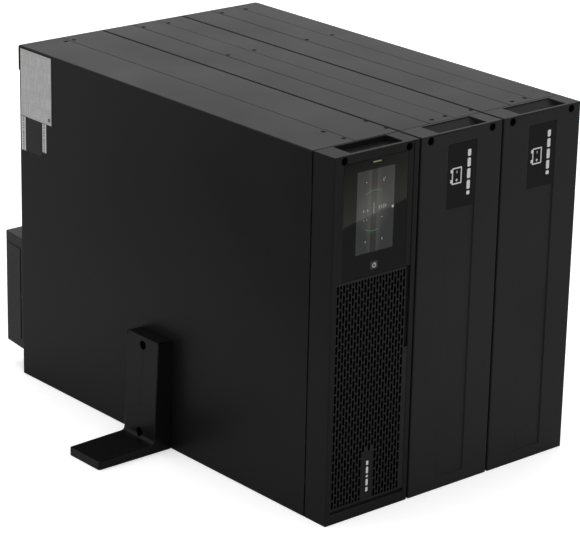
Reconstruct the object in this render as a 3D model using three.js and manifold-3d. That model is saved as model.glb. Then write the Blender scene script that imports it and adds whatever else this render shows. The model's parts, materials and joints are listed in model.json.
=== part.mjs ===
// A power backup set standing as towers: one inverter (UPS) module and two battery modules side by side,
// joined by plates at the rear and held upright by a bracket with a foot on each outer side.
// Millimetres. X runs left to right across the fronts, Y from the fronts to the rear, Z up.
// Every piece is placed from the front left bottom corner of the set; the last line of the file moves
// the origin to the middle of the footprint, on the floor.
import * as THREE from 'three';
import { mergeVertices } from 'three/addons/utils/BufferGeometryUtils.js';
import Module from 'manifold-3d';

// ---------------------------------------------------------------- driving dimensions
const SHEET = 1.2; // cover and chassis steel
const FIT = 0.3; // gap left between pieces that touch
const PAST = 1; // how far a cut runs past the face it opens

const MODULE = { width: 127, height: 438, depth: 594, pitch: 128.5 };
const MIDDLE = MODULE.width / 2;
const BEZEL = { depth: 36, wall: 2.5, corner: 1.5, inset: 0.7, holeRadius: 4.8 };
const SCREW_HOLES = { left: 15, right: 111, drop: 6.2 };
const BOSS = { radius: 6.2, length: 30, holeDepth: 12 };
const COVER = { front: BEZEL.depth + 0.9, bend: 2 };
const REAR = { front: 590.5, back: 590.5 + SHEET };
const LINER = 1.5; // how far a rear wall stays inside the covers

const GRIP = { left: 28, right: 106, front: 5, back: 34, depth: 7 };
const RAMP = { left: 30, right: 105, front: 4, back: 33, deep: 15, shallow: 1.5 };

const WINDOW = { left: 15.5, right: 109.7, bottom: 291.8, top: 427.2, front: 0.4, back: 2.4 };
const LCD = { left: 32, right: 94, bottom: 317, top: 418 };
const BUTTON = { left: 57.4, right: 69.4, front: 0.2, bottom: 297.8, top: 307.8 };
const LIGHT = { left: 57.8, right: 69.8, bottom: 422.7, top: 423.9 };
const GRILLE = { left: 8.2, right: 118.8, bottom: 17, top: 291.2, front: 0.3, back: 3.3, foot: 4.2 };
const NOTCH = { left: 113.4, bottom: 193.5 }; // finger notch beside the grille
const GROOVE = { left: 117.7, right: 118.9, depth: 1.2 }; // runs up from the notch beside the window
const SLOTS = {
  columns: 12, rows: 6, left: 10.2, right: 112.8, bottom: 18.5, top: 289.5, width: 4.4, web: 4,
};
const BADGE = { left: 53.5, right: 71.5, front: 0.2, back: 1.2, bottom: 20.2, top: 76 };
const STRIP = { left: 42.7, right: 86.9, bottom: 14.5, top: 345, windowTop: 422, depth: 1.6 };

const SEAM = { ups: MIDDLE, left: 47.1, right: 86.9 }; // where the folded covers end on top
const FAN = { size: 80, depth: 25, bore: 38, hub: 15, blades: 7, heights: [226, 308] };
const BOX = { left: 1.5, right: 112, taper: 5.5, bottom: 32, top: 182, back: 641, wall: 1.5 };
const OUTLET = { radius: 14, xs: [35, 80], y: 619 };

const TRAY = { left: 14, right: 123.8, front: 39, back: 505, gap: 0.9 };
const BATTERY = { length: 151, width: 64, height: 100, gap: 0.8, core: 1.5 };

const STAND = {
  front: 283.5, width: 60, height: 141, offset: 20, lean: 6, reach: 108, toe: 10.5, heel: 12.5, wall: 2,
};
const STAND_CORNERS = { crease: 5, plan: 3.5, edge: 1 };
const STAND_SCREWS = { heights: [19, 130], access: 5.5, headRadius: 4.6, headHeight: 3 };
const PLATE = { thickness: 2, corner: 3, upper: [405, 437.7], lower: [4, 28], inset: 20 };

const FULL_WIDTH = 2 * MODULE.pitch + MODULE.width;

// ---------------------------------------------------------------- materials
const paint = (color, roughness, metalness) => new THREE.MeshStandardMaterial({ color, roughness, metalness });
const steelPaint = paint(0x2a2a2b, 0.55, 0.2);
const bezelPlastic = paint(0x202021, 0.6, 0);
const glossBlack = paint(0x0b0c0c, 0.08, 0);
const screenGlass = paint(0x4a4f4c, 0.15, 0);
const buttonPlastic = paint(0x3a3b3b, 0.4, 0);
const lightPipe = paint(0xa8c060, 0.3, 0);
const grillePlastic = paint(0x242425, 0.65, 0);
const foam = paint(0x101010, 0.95, 0);
const boardGreen = paint(0x1d4a2c, 0.5, 0);
const bareAluminium = paint(0xa9acae, 0.35, 0.9);
const capSleeve = paint(0x1b2430, 0.4, 0);
const copper = paint(0x9a5a2c, 0.4, 0.7);
const fanPlastic = paint(0x141414, 0.5, 0);
const terminalPlastic = paint(0x30312f, 0.5, 0);
const trayZinc = paint(0x8d9093, 0.4, 0.8);
const batteryCase = paint(0x3b3d40, 0.5, 0);
const socketPlastic = paint(0x2c2d30, 0.45, 0);
const leverPlastic = paint(0xd8d8d4, 0.4, 0);
const screwSteel = paint(0x1a1a1a, 0.4, 0.7);
const silverFoil = paint(0xb9bbbd, 0.45, 0.5);

// ---------------------------------------------------------------- solids
const wasm = await Module();
wasm.setup();

// The solid inside a closed surface.
function solid(geometry) {
  const bare = geometry.index ? geometry.toNonIndexed() : geometry.clone();
  bare.deleteAttribute('normal');
  bare.deleteAttribute('uv');
  const merged = mergeVertices(bare, 1e-4);
  const vertProperties = merged.attributes.position.array;
  const triVerts = new Uint32Array(merged.index.array);
  return new wasm.Manifold(new wasm.Mesh({ numProp: 3, vertProperties, triVerts }));
}

// The surface of a solid, with flat facets.
function geometryOf(body) {
  const mesh = body.getMesh();
  const geometry = new THREE.BufferGeometry();
  geometry.setAttribute('position', new THREE.BufferAttribute(mesh.vertProperties, 3));
  geometry.setIndex(new THREE.BufferAttribute(mesh.triVerts, 1));
  const flat = geometry.toNonIndexed();
  flat.computeVertexNormals();
  return flat;
}

function block([x0, x1], [y0, y1], [z0, z1]) {
  const box = new THREE.BoxGeometry(x1 - x0, y1 - y0, z1 - z0);
  return solid(box.translate((x0 + x1) / 2, (y0 + y1) / 2, (z0 + z1) / 2));
}

// The point at distance r from (x, y) on the way to another corner.
function towards(x, y, [cx, cy], r) {
  const length = Math.hypot(cx - x, cy - y);
  return [x + ((cx - x) * r) / length, y + ((cy - y) * r) / length];
}

// A closed outline through corners [x, y, radius]; a corner with a radius is rounded.
function outline(corners) {
  const shape = new THREE.Shape();
  corners.forEach(([x, y, r = 0], i) => {
    const start = towards(x, y, corners.at(i - 1), r);
    const end = towards(x, y, corners[(i + 1) % corners.length], r);
    if (i === 0) shape.moveTo(...start);
    else shape.lineTo(...start);
    if (r) shape.quadraticCurveTo(x, y, ...end);
  });
  return shape;
}

// Outlines drawn in one plane and pushed along the third axis from one place to another.
const X = new THREE.Vector3(1, 0, 0);
const Y = new THREE.Vector3(0, 1, 0);
const Z = new THREE.Vector3(0, 0, 1);
const BACK = new THREE.Vector3(0, -1, 0);

function push(corners, from, to, basis, origin) {
  const options = { depth: to - from, bevelEnabled: false, curveSegments: 4 };
  const geometry = new THREE.ExtrudeGeometry(outline(corners), options);
  const place = new THREE.Matrix4().makeBasis(...basis).setPosition(origin);
  return solid(geometry.applyMatrix4(place));
}

const alongZ = (corners, from, to) => push(corners, from, to, [X, Y, Z], new THREE.Vector3(0, 0, from));
const alongY = (corners, from, to) => push(corners, from, to, [X, Z, BACK], new THREE.Vector3(0, to, 0));
const alongX = (corners, from, to) => push(corners, from, to, [Y, Z, X], new THREE.Vector3(from, 0, 0));

// Round rods: along Y at (x, z), along X at (y, z) and along Z at (x, y).
function rod(radius, from, to, sides) {
  return new THREE.CylinderGeometry(radius, radius, to - from, sides).translate(0, (from + to) / 2, 0);
}

function rodY(x, z, radius, [from, to], sides = 20) {
  return solid(rod(radius, from, to, sides).translate(x, 0, z));
}

function rodX(y, z, radius, [from, to], sides = 20) {
  return solid(rod(radius, from, to, sides).rotateZ(-Math.PI / 2).translate(0, y, z));
}

function rodZ(x, y, radius, [from, to], sides = 20) {
  return solid(rod(radius, from, to, sides).rotateX(Math.PI / 2).translate(x, y, 0));
}

function rectangle([x0, x1], [y0, y1], radius = 0) {
  return [[x0, y0, radius], [x1, y0, radius], [x1, y1, radius], [x0, y1, radius]];
}

const joined = (bodies) => bodies.reduce((whole, body) => whole.add(body));
const range = (count) => Array.from({ length: count }, (_, i) => i);

function node(group, name, body, material) {
  const mesh = new THREE.Mesh(geometryOf(body), material);
  mesh.name = name;
  group.add(mesh);
}

// ---------------------------------------------------------------- covers, shared by the three modules
// A folded steel cover: one large side with flanges over the top and under the bottom.
// It is drawn on the left side and mirrored for the right.
function foldedCover(flange, mirrored = false) {
  const across = (x) => (mirrored ? MODULE.width - x : x);
  const inner = SHEET;
  const top = MODULE.height;
  const corners = [
    [across(flange), top],
    [across(0), top, COVER.bend],
    [across(0), 0, COVER.bend],
    [across(flange), 0],
    [across(flange), inner],
    [across(inner), inner],
    [across(inner), top - inner],
    [across(flange), top - inner],
  ];
  return alongY(corners, COVER.front, MODULE.depth);
}

// ---------------------------------------------------------------- front bezels
// A moulded cap with rounded front corners, hollow from behind, with two screw bosses near its top.
function bezelShell() {
  const { depth, wall, corner, inset } = BEZEL;
  const [left, right] = [inset, MODULE.width - inset];
  const plan = [[left, depth], [left, 0, corner], [right, 0, corner], [right, depth]];
  const shell = alongZ(plan, 0, MODULE.height);
  const hollow = block([left + wall, right - wall], [wall, depth + PAST], [wall, MODULE.height - wall]);
  const bosses = screwPlaces().map(([x, z]) => rodY(x, z, BOSS.radius, [1, BOSS.length]));
  return joined([shell.subtract(hollow), ...bosses]);
}

function screwPlaces() {
  const z = MODULE.height - SCREW_HOLES.drop;
  return [[SCREW_HOLES.left, z], [SCREW_HOLES.right, z]];
}

function withScrewHoles(bezel) {
  const holes = screwPlaces().map(([x, z]) => rodY(x, z, BEZEL.holeRadius, [-PAST, BOSS.holeDepth]));
  return bezel.subtract(joined(holes));
}

function upsBezel() {
  const { left, right, front, back, depth } = GRIP;
  const top = MODULE.height;
  const wall = 2;
  const cup = block([left - wall, right + wall], [1, back + wall], [top - depth - wall, top]);
  const cupHollow = block([left, right], [front, back], [top - depth, top + PAST]);

  const ledge = 3;
  const windowBack = block([WINDOW.left - ledge, WINDOW.right + ledge], [1, 5.5], [288, WINDOW.top + ledge]);
  const grilleBack = block([3, 120.5], [1, 6.5], [10, 294]);

  const windowSeat = block(
    [WINDOW.left - FIT, WINDOW.right + FIT],
    [-PAST, WINDOW.back + FIT],
    [WINDOW.bottom - FIT, WINDOW.top + FIT],
  );
  const screenHole = block([LCD.left - 1, LCD.right + 1], [0, 8], [LCD.bottom - 1, LCD.top + 1]);
  const lightHole = block([LIGHT.left - 0.5, LIGHT.right + 0.5], [0, 8], [LIGHT.bottom - 0.5, LIGHT.top + 0.5]);
  const buttonHole = block(
    [BUTTON.left - 2, BUTTON.right + 2],
    [0, 8],
    [BUTTON.bottom - 2, BUTTON.top + 2],
  );
  const grilleSeat = block(
    [GRILLE.left - FIT, GRILLE.right + FIT],
    [-PAST, GRILLE.back + FIT],
    [GRILLE.bottom - GRILLE.foot, GRILLE.top + FIT],
  );
  const airHole = block([GRILLE.left + 2, NOTCH.left - 1], [0, 8], [GRILLE.bottom + 2, 287.5]);
  const edgeGroove = block([GROOVE.left, GROOVE.right], [-PAST, GROOVE.depth], [GRILLE.top, top + PAST]);

  const body = joined([bezelShell(), cup, windowBack, grilleBack]);
  const cuts = [cupHollow, windowSeat, screenHole, lightHole, buttonHole, grilleSeat, airHole, edgeGroove];
  return withScrewHoles(body.subtract(joined(cuts)));
}

function batteryBezel() {
  const { left, right, front, back, deep, shallow } = RAMP;
  const top = MODULE.height;
  const wall = 2;
  const cup = block([left - wall, right + wall], [1, back + wall], [top - deep - wall, top]);
  const slope = [[front, top + PAST], [front, top - deep], [back, top - shallow], [back, top + PAST]];
  const rampHollow = alongX(slope, left, right);

  // The window and the shallow strip below it share one sunk band down the front.
  const bandBack = block([STRIP.left - 3, STRIP.right + 3], [1, 5.5], [11, STRIP.windowTop + 3]);
  const strip = block([STRIP.left, STRIP.right], [-PAST, STRIP.depth], [STRIP.bottom, STRIP.top]);
  const windowSeat = block(
    [STRIP.left - FIT, STRIP.right + FIT],
    [-PAST, WINDOW.back + FIT],
    [STRIP.top, STRIP.windowTop + FIT],
  );
  const body = joined([bezelShell(), cup, bandBack]);
  return withScrewHoles(body.subtract(joined([rampHollow, strip, windowSeat])));
}

// ---------------------------------------------------------------- UPS module: front pieces
function displayWindow() {
  const depth = [WINDOW.front, WINDOW.back];
  const plate = alongY(rectangle([WINDOW.left, WINDOW.right], [WINDOW.bottom, WINDOW.top], 2), ...depth);
  const through = [WINDOW.front - PAST, WINDOW.back + PAST];
  const forButton = block(
    [BUTTON.left - FIT, BUTTON.right + FIT],
    through,
    [BUTTON.bottom - FIT, BUTTON.top + FIT],
  );
  const forLight = block(
    [LIGHT.left - FIT, LIGHT.right + FIT],
    through,
    [LIGHT.bottom - FIT, LIGHT.top + FIT],
  );
  return plate.subtract(joined([forButton, forLight]));
}

// The key's cap, with a flange behind the window that keeps it from falling out.
function powerButton() {
  const cap = block([BUTTON.left, BUTTON.right], [BUTTON.front, 7], [BUTTON.bottom, BUTTON.top]);
  const lip = 1.4;
  const flange = block(
    [BUTTON.left - lip, BUTTON.right + lip],
    [3, 4.2],
    [BUTTON.bottom - lip, BUTTON.top + lip],
  );
  return cap.add(flange);
}

// A plate of long slots. The middle of its foot stays blank behind the badge.
function grille() {
  const corners = [
    [GRILLE.left, GRILLE.bottom],
    [GRILLE.right, GRILLE.bottom],
    [GRILLE.right, NOTCH.bottom],
    [NOTCH.left, NOTCH.bottom],
    [NOTCH.left, GRILLE.top],
    [GRILLE.left, GRILLE.top],
  ];
  const plate = alongY(corners, GRILLE.front, GRILLE.back);
  const pitchX = (SLOTS.right - SLOTS.left) / SLOTS.columns;
  const pitchZ = (SLOTS.top - SLOTS.bottom) / SLOTS.rows;
  const slots = range(SLOTS.columns * SLOTS.rows).map((i) => {
    const x = SLOTS.left + (0.5 + (i % SLOTS.columns)) * pitchX;
    const z = SLOTS.bottom + Math.floor(i / SLOTS.columns) * pitchZ;
    const sides = [x - SLOTS.width / 2, x + SLOTS.width / 2];
    return block(sides, [0, 5], [z + SLOTS.web / 2, z + pitchZ - SLOTS.web / 2]);
  });
  const blank = block([BADGE.left - 1, BADGE.right + 1], [0, 5], [BADGE.bottom - 1, BADGE.top + 1]);
  const badgeSeat = block(
    [BADGE.left - FIT, BADGE.right + FIT],
    [-PAST, BADGE.back + FIT],
    [BADGE.bottom - FIT, BADGE.top + FIT],
  );
  return plate.subtract(joined(slots).subtract(blank)).subtract(badgeSeat);
}

function badge() {
  const outline = rectangle([BADGE.left, BADGE.right], [BADGE.bottom, BADGE.top], 1);
  return alongY(outline, BADGE.front, BADGE.back);
}

function dustFilter() {
  return block([7, NOTCH.left - 2], [6.8, 12], [19, 289]);
}

// ---------------------------------------------------------------- UPS module: inside
const BOARD = { x: [116, 117.6], y: [45, 540], z: [12, 426] };

function heatsink() {
  const finCount = 12;
  const fin = { pitch: 7, thickness: 1.8 };
  const z0 = 196;
  const base = block([108, 115.7], [110, 430], [z0, z0 + finCount * fin.pitch]);
  const fins = range(finCount).map((i) => {
    const z = z0 + i * fin.pitch;
    return block([50, 109], [110, 430], [z, z + fin.thickness]);
  });
  return joined([base, ...fins]);
}

function choke() {
  const ring = { inner: 16, outer: 34, half: 14 };
  const section = [
    new THREE.Vector2(ring.inner, -ring.half),
    new THREE.Vector2(ring.outer, -ring.half),
    new THREE.Vector2(ring.outer, ring.half),
    new THREE.Vector2(ring.inner, ring.half),
    new THREE.Vector2(ring.inner, -ring.half),
  ];
  const ringTurned = new THREE.LatheGeometry(section, 20).rotateZ(-Math.PI / 2).translate(100, 500, 250);
  return solid(ringTurned);
}

// Bulk capacitors standing on one carrier strip.
function capacitorBank() {
  const radius = 17;
  const carrier = block([112, 115.7], [120, 420], [138, 182]);
  const cans = range(7).map((i) => rodX(143 + i * 42, 160, radius, [58, 113], 14));
  return joined([carrier, ...cans]);
}

// ---------------------------------------------------------------- fans
function fanFrame(z) {
  const half = FAN.size / 2;
  const back = REAR.front - FIT;
  const front = back - FAN.depth;
  const arm = 2;
  const armDepth = [back - 3, back];
  const ringBody = block([MIDDLE - half, MIDDLE + half], [front, back], [z - half, z + half]);
  const tunnel = rodY(MIDDLE, z, FAN.bore, [front - PAST, back + PAST], 28);
  const crossbar = block([MIDDLE - half, MIDDLE + half], armDepth, [z - arm, z + arm]);
  const upright = block([MIDDLE - arm, MIDDLE + arm], armDepth, [z - half, z + half]);
  return joined([ringBody.subtract(tunnel), crossbar, upright, rodY(MIDDLE, z, FAN.hub, armDepth)]);
}

function fanRotor(z) {
  const back = REAR.front - FIT - 3.8;
  const hub = rodY(0, 0, FAN.hub, [back - 18, back]);
  const blade = { long: 23, thick: 1.6, chord: 20, pitch: THREE.MathUtils.degToRad(38) };
  const vanes = range(FAN.blades).map((i) => {
    const vane = new THREE.BoxGeometry(blade.long, blade.chord, blade.thick);
    vane.rotateX(blade.pitch).translate(FAN.hub - 1 + blade.long / 2, back - 9, 0);
    return solid(vane.rotateY((i / FAN.blades) * 2 * Math.PI));
  });
  return joined([hub, ...vanes]).translate([MIDDLE, 0, z]);
}

// ---------------------------------------------------------------- rear pieces
const REAR_DEPTH = [REAR.front, REAR.back];
const REAR_CUT = [REAR.front - PAST, REAR.back + PAST];

const UPS_REAR = {
  socket: { x: [66, 98], z: [353.5, 375.5] },
  breaker: { x: [101, 122], z: [353.5, 375.5] },
  ports: { x: [66, 122], z: [379, 400] },
  slot: { x: [6, 60], z: [354, 400] },
};
const BATTERY_REAR = {
  socket: { x: [84, 116], z: [330, 385] },
  breaker: { x: [30, 66], z: [325, 390] },
};

function rearWall() {
  return block([LINER, MODULE.width - LINER], REAR_DEPTH, [LINER, MODULE.height - LINER]);
}

function passage({ x, z }) {
  return block([x[0] - FIT, x[1] + FIT], REAR_CUT, [z[0] - FIT, z[1] + FIT]);
}

function upsRearPanel() {
  const fanHoles = FAN.heights.map((z) => rodY(MIDDLE, z, FAN.bore - 2, REAR_CUT, 28));
  const passages = [UPS_REAR.socket, UPS_REAR.breaker, UPS_REAR.ports].map(passage);
  return rearWall().subtract(joined([...fanHoles, ...passages]));
}

// A cover plate over the card slot, held by two thumbscrews.
function slotCover() {
  const { x, z } = UPS_REAR.slot;
  const plate = block(x, [REAR.back + FIT, REAR.back + FIT + SHEET], z);
  const screws = [z[0] + 6, z[1] - 6].map((height) => rodY((x[0] + x[1]) / 2, height, 4, [592.5, 598], 14));
  return joined([plate, ...screws]);
}

// A socket for a serial plug and one for a data plug in one moulded carrier.
const SERIAL = { x: [70, 90], z: [384.5, 394.5], depth: 8 };
const DATA = { x: [98, 110], z: [384, 395], depth: 8 };

function portPlate() {
  const { x, z } = UPS_REAR.ports;
  const carrier = block(x, [578, REAR.back], z);
  const shells = [SERIAL, DATA].map((port) => {
    const rim = 1.2;
    const outer = [port.x.map((v, i) => v + (i ? rim : -rim)), port.z.map((v, i) => v + (i ? rim : -rim))];
    return block(outer[0], [580, 596], outer[1]);
  });
  const wells = [SERIAL, DATA].map((port) => block(port.x, [596 - port.depth, 597], port.z));
  return joined([carrier, ...shells]).subtract(joined(wells));
}

// A battery link socket: a moulded block with one open well that faces the rear.
function powerSocket({ x, z }) {
  const rim = 4;
  const body = block(x, [572, 601], z);
  const well = block([x[0] + rim, x[1] - rim], [584, 601 + PAST], [z[0] + rim, z[1] - rim]);
  return body.subtract(well);
}

// A circuit breaker: its body, cut by the sweep of the lever that pivots in it.
const LEVER = { reach: 13, thickness: 4, sweep: 7, y: 592, tilt: THREE.MathUtils.degToRad(25) };

function breakerBody({ x, z }) {
  const middle = (z[0] + z[1]) / 2;
  const body = block(x, [545, 596], z);
  const slot = block([x[0] + 4, x[1] - 4], [LEVER.y - LEVER.sweep, 597], [middle - 8, middle + 8]);
  return body.subtract(slot);
}

function breakerLever({ x, z }) {
  const inset = 4.6;
  const width = [x[0] + inset, x[1] - inset];
  const barrel = rodX(0, 0, 4.2, width, 14);
  const half = LEVER.thickness / 2;
  const handle = alongX([[0, -half], [LEVER.reach, -half, 1], [LEVER.reach, half, 1], [0, half]], ...width);
  const tilted = joined([barrel, handle]).rotate([THREE.MathUtils.radToDeg(LEVER.tilt), 0, 0]);
  return tilted.translate([0, LEVER.y, (z[0] + z[1]) / 2]);
}

// The wiring terminals and the box that covers them, open towards the rear panel.
function terminalBlock() {
  const barriers = 9;
  const pitch = 14;
  const z0 = 44;
  const base = block([30, 70], [REAR.back + FIT, 604], [z0, z0 + barriers * pitch + 2.5]);
  const walls = range(barriers + 1)
    .map((i) => z0 + i * pitch)
    .map((z) => block([30, 70], [600, 618], [z, z + 2.5]));
  return joined([base, ...walls]);
}

// Its left side leans in towards the back.
function terminalBox() {
  const { left, right, taper, bottom, top, back, wall } = BOX;
  const front = MODULE.depth + 0.5;
  const bend = 3;
  const plan = [[left, front], [left + taper, back, bend], [right, back, bend], [right, front]];
  const inside = [
    [left + wall, front - PAST],
    [left + taper + wall, back - wall],
    [right - wall, back - wall],
    [right - wall, front - PAST],
  ];
  const shell = alongZ(plan, bottom, top);
  const hollow = alongZ(inside, bottom + wall, top - wall);
  const outlets = OUTLET.xs.map((x) => rodZ(x, OUTLET.y, OUTLET.radius, [bottom - PAST, bottom + wall + PAST]));
  return shell.subtract(joined([hollow, ...outlets]));
}

// ---------------------------------------------------------------- battery module
// The inner frame: the strips between the two covers on top and below, a shelf between
// the two trays, and the rear wall, welded into one piece.
function batteryChassis() {
  const lower = { step: 436.4, under: 434.4, reach: 7.2 };
  const shadowGap = 0.9; // the wider seam, beside the left cover
  const strip = (flip) => {
    const at = (z) => (flip ? MODULE.height - z : z);
    const inner = [SEAM.left + shadowGap, SEAM.right - FIT];
    const outer = [SEAM.left - lower.reach, SEAM.right + lower.reach];
    return alongY(
      [
        [outer[0], at(lower.under)],
        [outer[1], at(lower.under)],
        [outer[1], at(lower.step)],
        [inner[1], at(lower.step)],
        [inner[1], at(MODULE.height)],
        [inner[0], at(MODULE.height)],
        [inner[0], at(lower.step)],
        [outer[0], at(lower.step)],
      ],
      COVER.front,
      MODULE.depth,
    );
  };
  const shelf = block([LINER, MODULE.width - LINER], [COVER.front + 2, REAR.back], [218.4, 218.4 + SHEET]);
  const vents = range(6).map((i) => block([24, 103], REAR_CUT, [60 + i * 18, 66 + i * 18]));
  const cuts = [passage(BATTERY_REAR.socket), passage(BATTERY_REAR.breaker), ...vents];
  return joined([strip(false), strip(true), shelf, rearWall().subtract(joined(cuts))]);
}

// A drawer for one battery string: a back, two walls and a front flange with a pull lip.
function tray([z0, z1]) {
  const { left, right, front, back } = TRAY;
  const side = block([right - SHEET, right], [front, back], [z0, z1]);
  const floor = block([left, right], [front, back], [z0, z0 + SHEET]);
  const roof = block([left, right], [front, back], [z1 - SHEET, z1]);
  const flange = block([left, right], [front, front + SHEET], [z0, z1]);
  const middle = (z0 + z1) / 2;
  const pull = block([58, 96], [front - 14, front + SHEET], [middle - 1.5, middle + 1.5]);
  const pullEdge = block([58, 96], [front - 14, front - 11], [middle - 1.5, middle + 6]);
  return joined([side, floor, roof, flange, pull, pullEdge]);
}

// Three by three sealed batteries on their sides, strapped into one block.
function batteries([z0, z1]) {
  const count = 3;
  const { length, width, height, gap, core } = BATTERY;
  const x = [TRAY.right - SHEET - FIT - height, TRAY.right - SHEET - FIT];
  const y0 = TRAY.front + SHEET + 2;
  const deep = count * (width + gap) - gap;
  const start = (z0 + z1 - deep) / 2;
  const cells = range(count * count).map((i) => {
    const y = y0 + (i % count) * (length + gap);
    const z = start + Math.floor(i / count) * (width + gap);
    return block(x, [y, y + length], [z, z + width]);
  });
  const strapped = block(
    [x[0] + core, x[1] - core],
    [y0 + core, y0 + count * (length + gap) - gap - core],
    [start + core, start + deep - core],
  );
  return joined([strapped, ...cells]);
}

// ---------------------------------------------------------------- tower bracket
// A bracket: a hollow upright that screws to the side of a module and leans out a little
// towards its base, and a foot. It is drawn for the left side, reaching towards -X.
function stand() {
  const { front, width, height, offset, lean, reach, toe, heel, wall } = STAND;
  const { crease, plan: round, edge } = STAND_CORNERS;
  const y = [front, front + width];
  const inside = [front + wall, front + width - wall];
  const profile = [
    [-FIT, 0],
    [-FIT, height],
    [-offset, height, edge],
    [-offset - lean, heel, crease],
    [-reach, toe, edge],
    [-reach, 0],
  ];
  const outer = alongY(profile, ...y);
  const plan = [[0, y[0]], [-reach, y[0], round], [-reach, y[1], round], [0, y[1]]];
  const hollow = [
    [-FIT - wall, heel],
    [-FIT - wall, height - wall],
    [-offset + wall, height - wall],
    [-offset - lean + wall, heel],
  ];
  const upright = alongY(hollow, ...inside);
  const underfoot = block([-reach + wall + 3, -FIT - wall], inside, [-PAST, toe - wall]);
  const access = STAND_SCREWS.heights.map((z) => {
    const reachIn = rodX(front + width / 2, z, STAND_SCREWS.access, [-offset - 12, -offset / 2], 16);
    const clearance = rodX(front + width / 2, z, 2.8, [-offset, PAST], 10);
    return reachIn.add(clearance);
  });
  return outer.intersect(alongZ(plan, -PAST, height + PAST)).subtract(joined([upright, underfoot, ...access]));
}

function standScrew(z) {
  const y = STAND.front + STAND.width / 2;
  const seat = -FIT - STAND.wall - FIT;
  const head = rodX(y, z, STAND_SCREWS.headRadius, [seat - STAND_SCREWS.headHeight, seat], 16);
  return head.add(rodX(y, z, 2.3, [seat - 1, -FIT], 10));
}

// ---------------------------------------------------------------- assembly
const set = new THREE.Group();

const ups = new THREE.Group();
const upsSeam = SEAM.ups - FIT;
node(ups, 'ups_left_cover', foldedCover(upsSeam), steelPaint);
node(ups, 'ups_chassis_tray', foldedCover(upsSeam, true), steelPaint);
node(ups, 'ups_rear_panel', upsRearPanel(), steelPaint);
node(ups, 'ups_front_bezel', upsBezel(), bezelPlastic);
node(ups, 'ups_display_window', displayWindow(), glossBlack);
node(ups, 'ups_lcd_module', block([LCD.left, LCD.right], [2.7, 10], [LCD.bottom, LCD.top]), screenGlass);
node(ups, 'ups_power_button', powerButton(), buttonPlastic);
const lightDepth = [WINDOW.front, 9];
const lightBar = block([LIGHT.left, LIGHT.right], lightDepth, [LIGHT.bottom, LIGHT.top]);
node(ups, 'ups_status_light', lightBar, lightPipe);
node(ups, 'ups_grille', grille(), grillePlastic);
node(ups, 'ups_grille_badge', badge(), glossBlack);
node(ups, 'ups_dust_filter', dustFilter(), foam);
node(ups, 'ups_power_board', block(BOARD.x, BOARD.y, BOARD.z), boardGreen);
node(ups, 'ups_heatsink', heatsink(), bareAluminium);
node(ups, 'ups_choke', choke(), copper);
node(ups, 'ups_capacitor_bank', capacitorBank(), capSleeve);
['lower', 'upper'].forEach((place, i) => {
  node(ups, `ups_fan_frame_${place}`, fanFrame(FAN.heights[i]), fanPlastic);
  node(ups, `ups_fan_rotor_${place}`, fanRotor(FAN.heights[i]), fanPlastic);
});
node(ups, 'ups_terminal_block', terminalBlock(), terminalPlastic);
node(ups, 'ups_terminal_box', terminalBox(), steelPaint);
node(ups, 'ups_slot_cover', slotCover(), steelPaint);
node(ups, 'ups_port_plate', portPlate(), socketPlastic);
node(ups, 'ups_battery_socket', powerSocket(UPS_REAR.socket), socketPlastic);
node(ups, 'ups_breaker', breakerBody(UPS_REAR.breaker), terminalPlastic);
node(ups, 'ups_breaker_lever', breakerLever(UPS_REAR.breaker), leverPlastic);
const foil = [-FIT - 0.25, -FIT];
node(ups, 'ups_rating_plate', block(foil, [526, 591], [349, 435]), silverFoil);
set.add(ups);

const TRAY_HEIGHTS = {
  lower: [SHEET + 3, 218.4 - TRAY.gap],
  upper: [218.4 + SHEET + TRAY.gap, MODULE.height - SHEET - 3],
};
for (const number of [1, 2]) {
  const battery = new THREE.Group();
  const name = (piece) => `battery${number}_${piece}`;
  node(battery, name('left_cover'), foldedCover(SEAM.left), steelPaint);
  node(battery, name('right_cover'), foldedCover(MODULE.width - SEAM.right, true), steelPaint);
  node(battery, name('chassis'), batteryChassis(), steelPaint);
  node(battery, name('front_bezel'), batteryBezel(), bezelPlastic);
  const window = rectangle([STRIP.left, STRIP.right], [STRIP.top + FIT, STRIP.windowTop], 1);
  node(battery, name('mark_window'), alongY(window, WINDOW.front, WINDOW.back), glossBlack);
  for (const [place, heights] of Object.entries(TRAY_HEIGHTS)) {
    node(battery, name(`tray_${place}`), tray(heights), trayZinc);
    node(battery, name(`cells_${place}`), batteries(heights), batteryCase);
  }
  node(battery, name('socket'), powerSocket(BATTERY_REAR.socket), socketPlastic);
  node(battery, name('breaker'), breakerBody(BATTERY_REAR.breaker), terminalPlastic);
  node(battery, name('breaker_lever'), breakerLever(BATTERY_REAR.breaker), leverPlastic);
  battery.position.x = number * MODULE.pitch;
  set.add(battery);
}

// The right bracket is the left one turned half round, so its own front edge is moved to match.
for (const [side, turned] of [['left', false], ['right', true]]) {
  const bracket = new THREE.Group();
  node(bracket, `stand_${side}`, stand(), steelPaint);
  ['lower', 'upper'].forEach((place, i) => {
    node(bracket, `stand_screw_${side}_${place}`, standScrew(STAND_SCREWS.heights[i]), screwSteel);
  });
  if (turned) {
    bracket.rotation.z = Math.PI;
    bracket.position.set(FULL_WIDTH, 2 * STAND.front + STAND.width, 0);
  }
  set.add(bracket);
}

function joiningPlate([x0, x1], heights) {
  const from = MODULE.depth + FIT;
  return alongY(rectangle([x0, x1], heights, PLATE.corner), from, from + PLATE.thickness);
}
node(set, 'joining_plate_upper', joiningPlate([0, FULL_WIDTH], PLATE.upper), steelPaint);
node(set, 'joining_plate_lower', joiningPlate([PLATE.inset, FULL_WIDTH - PLATE.inset], PLATE.lower), steelPaint);

// The origin goes to the middle of the footprint: the feet reach equally far on both sides,
// and the terminal box is the rearmost piece.
const part = new THREE.Group();
set.position.set(-FULL_WIDTH / 2, -BOX.back / 2, 0);
part.add(set);

export default part;
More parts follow.
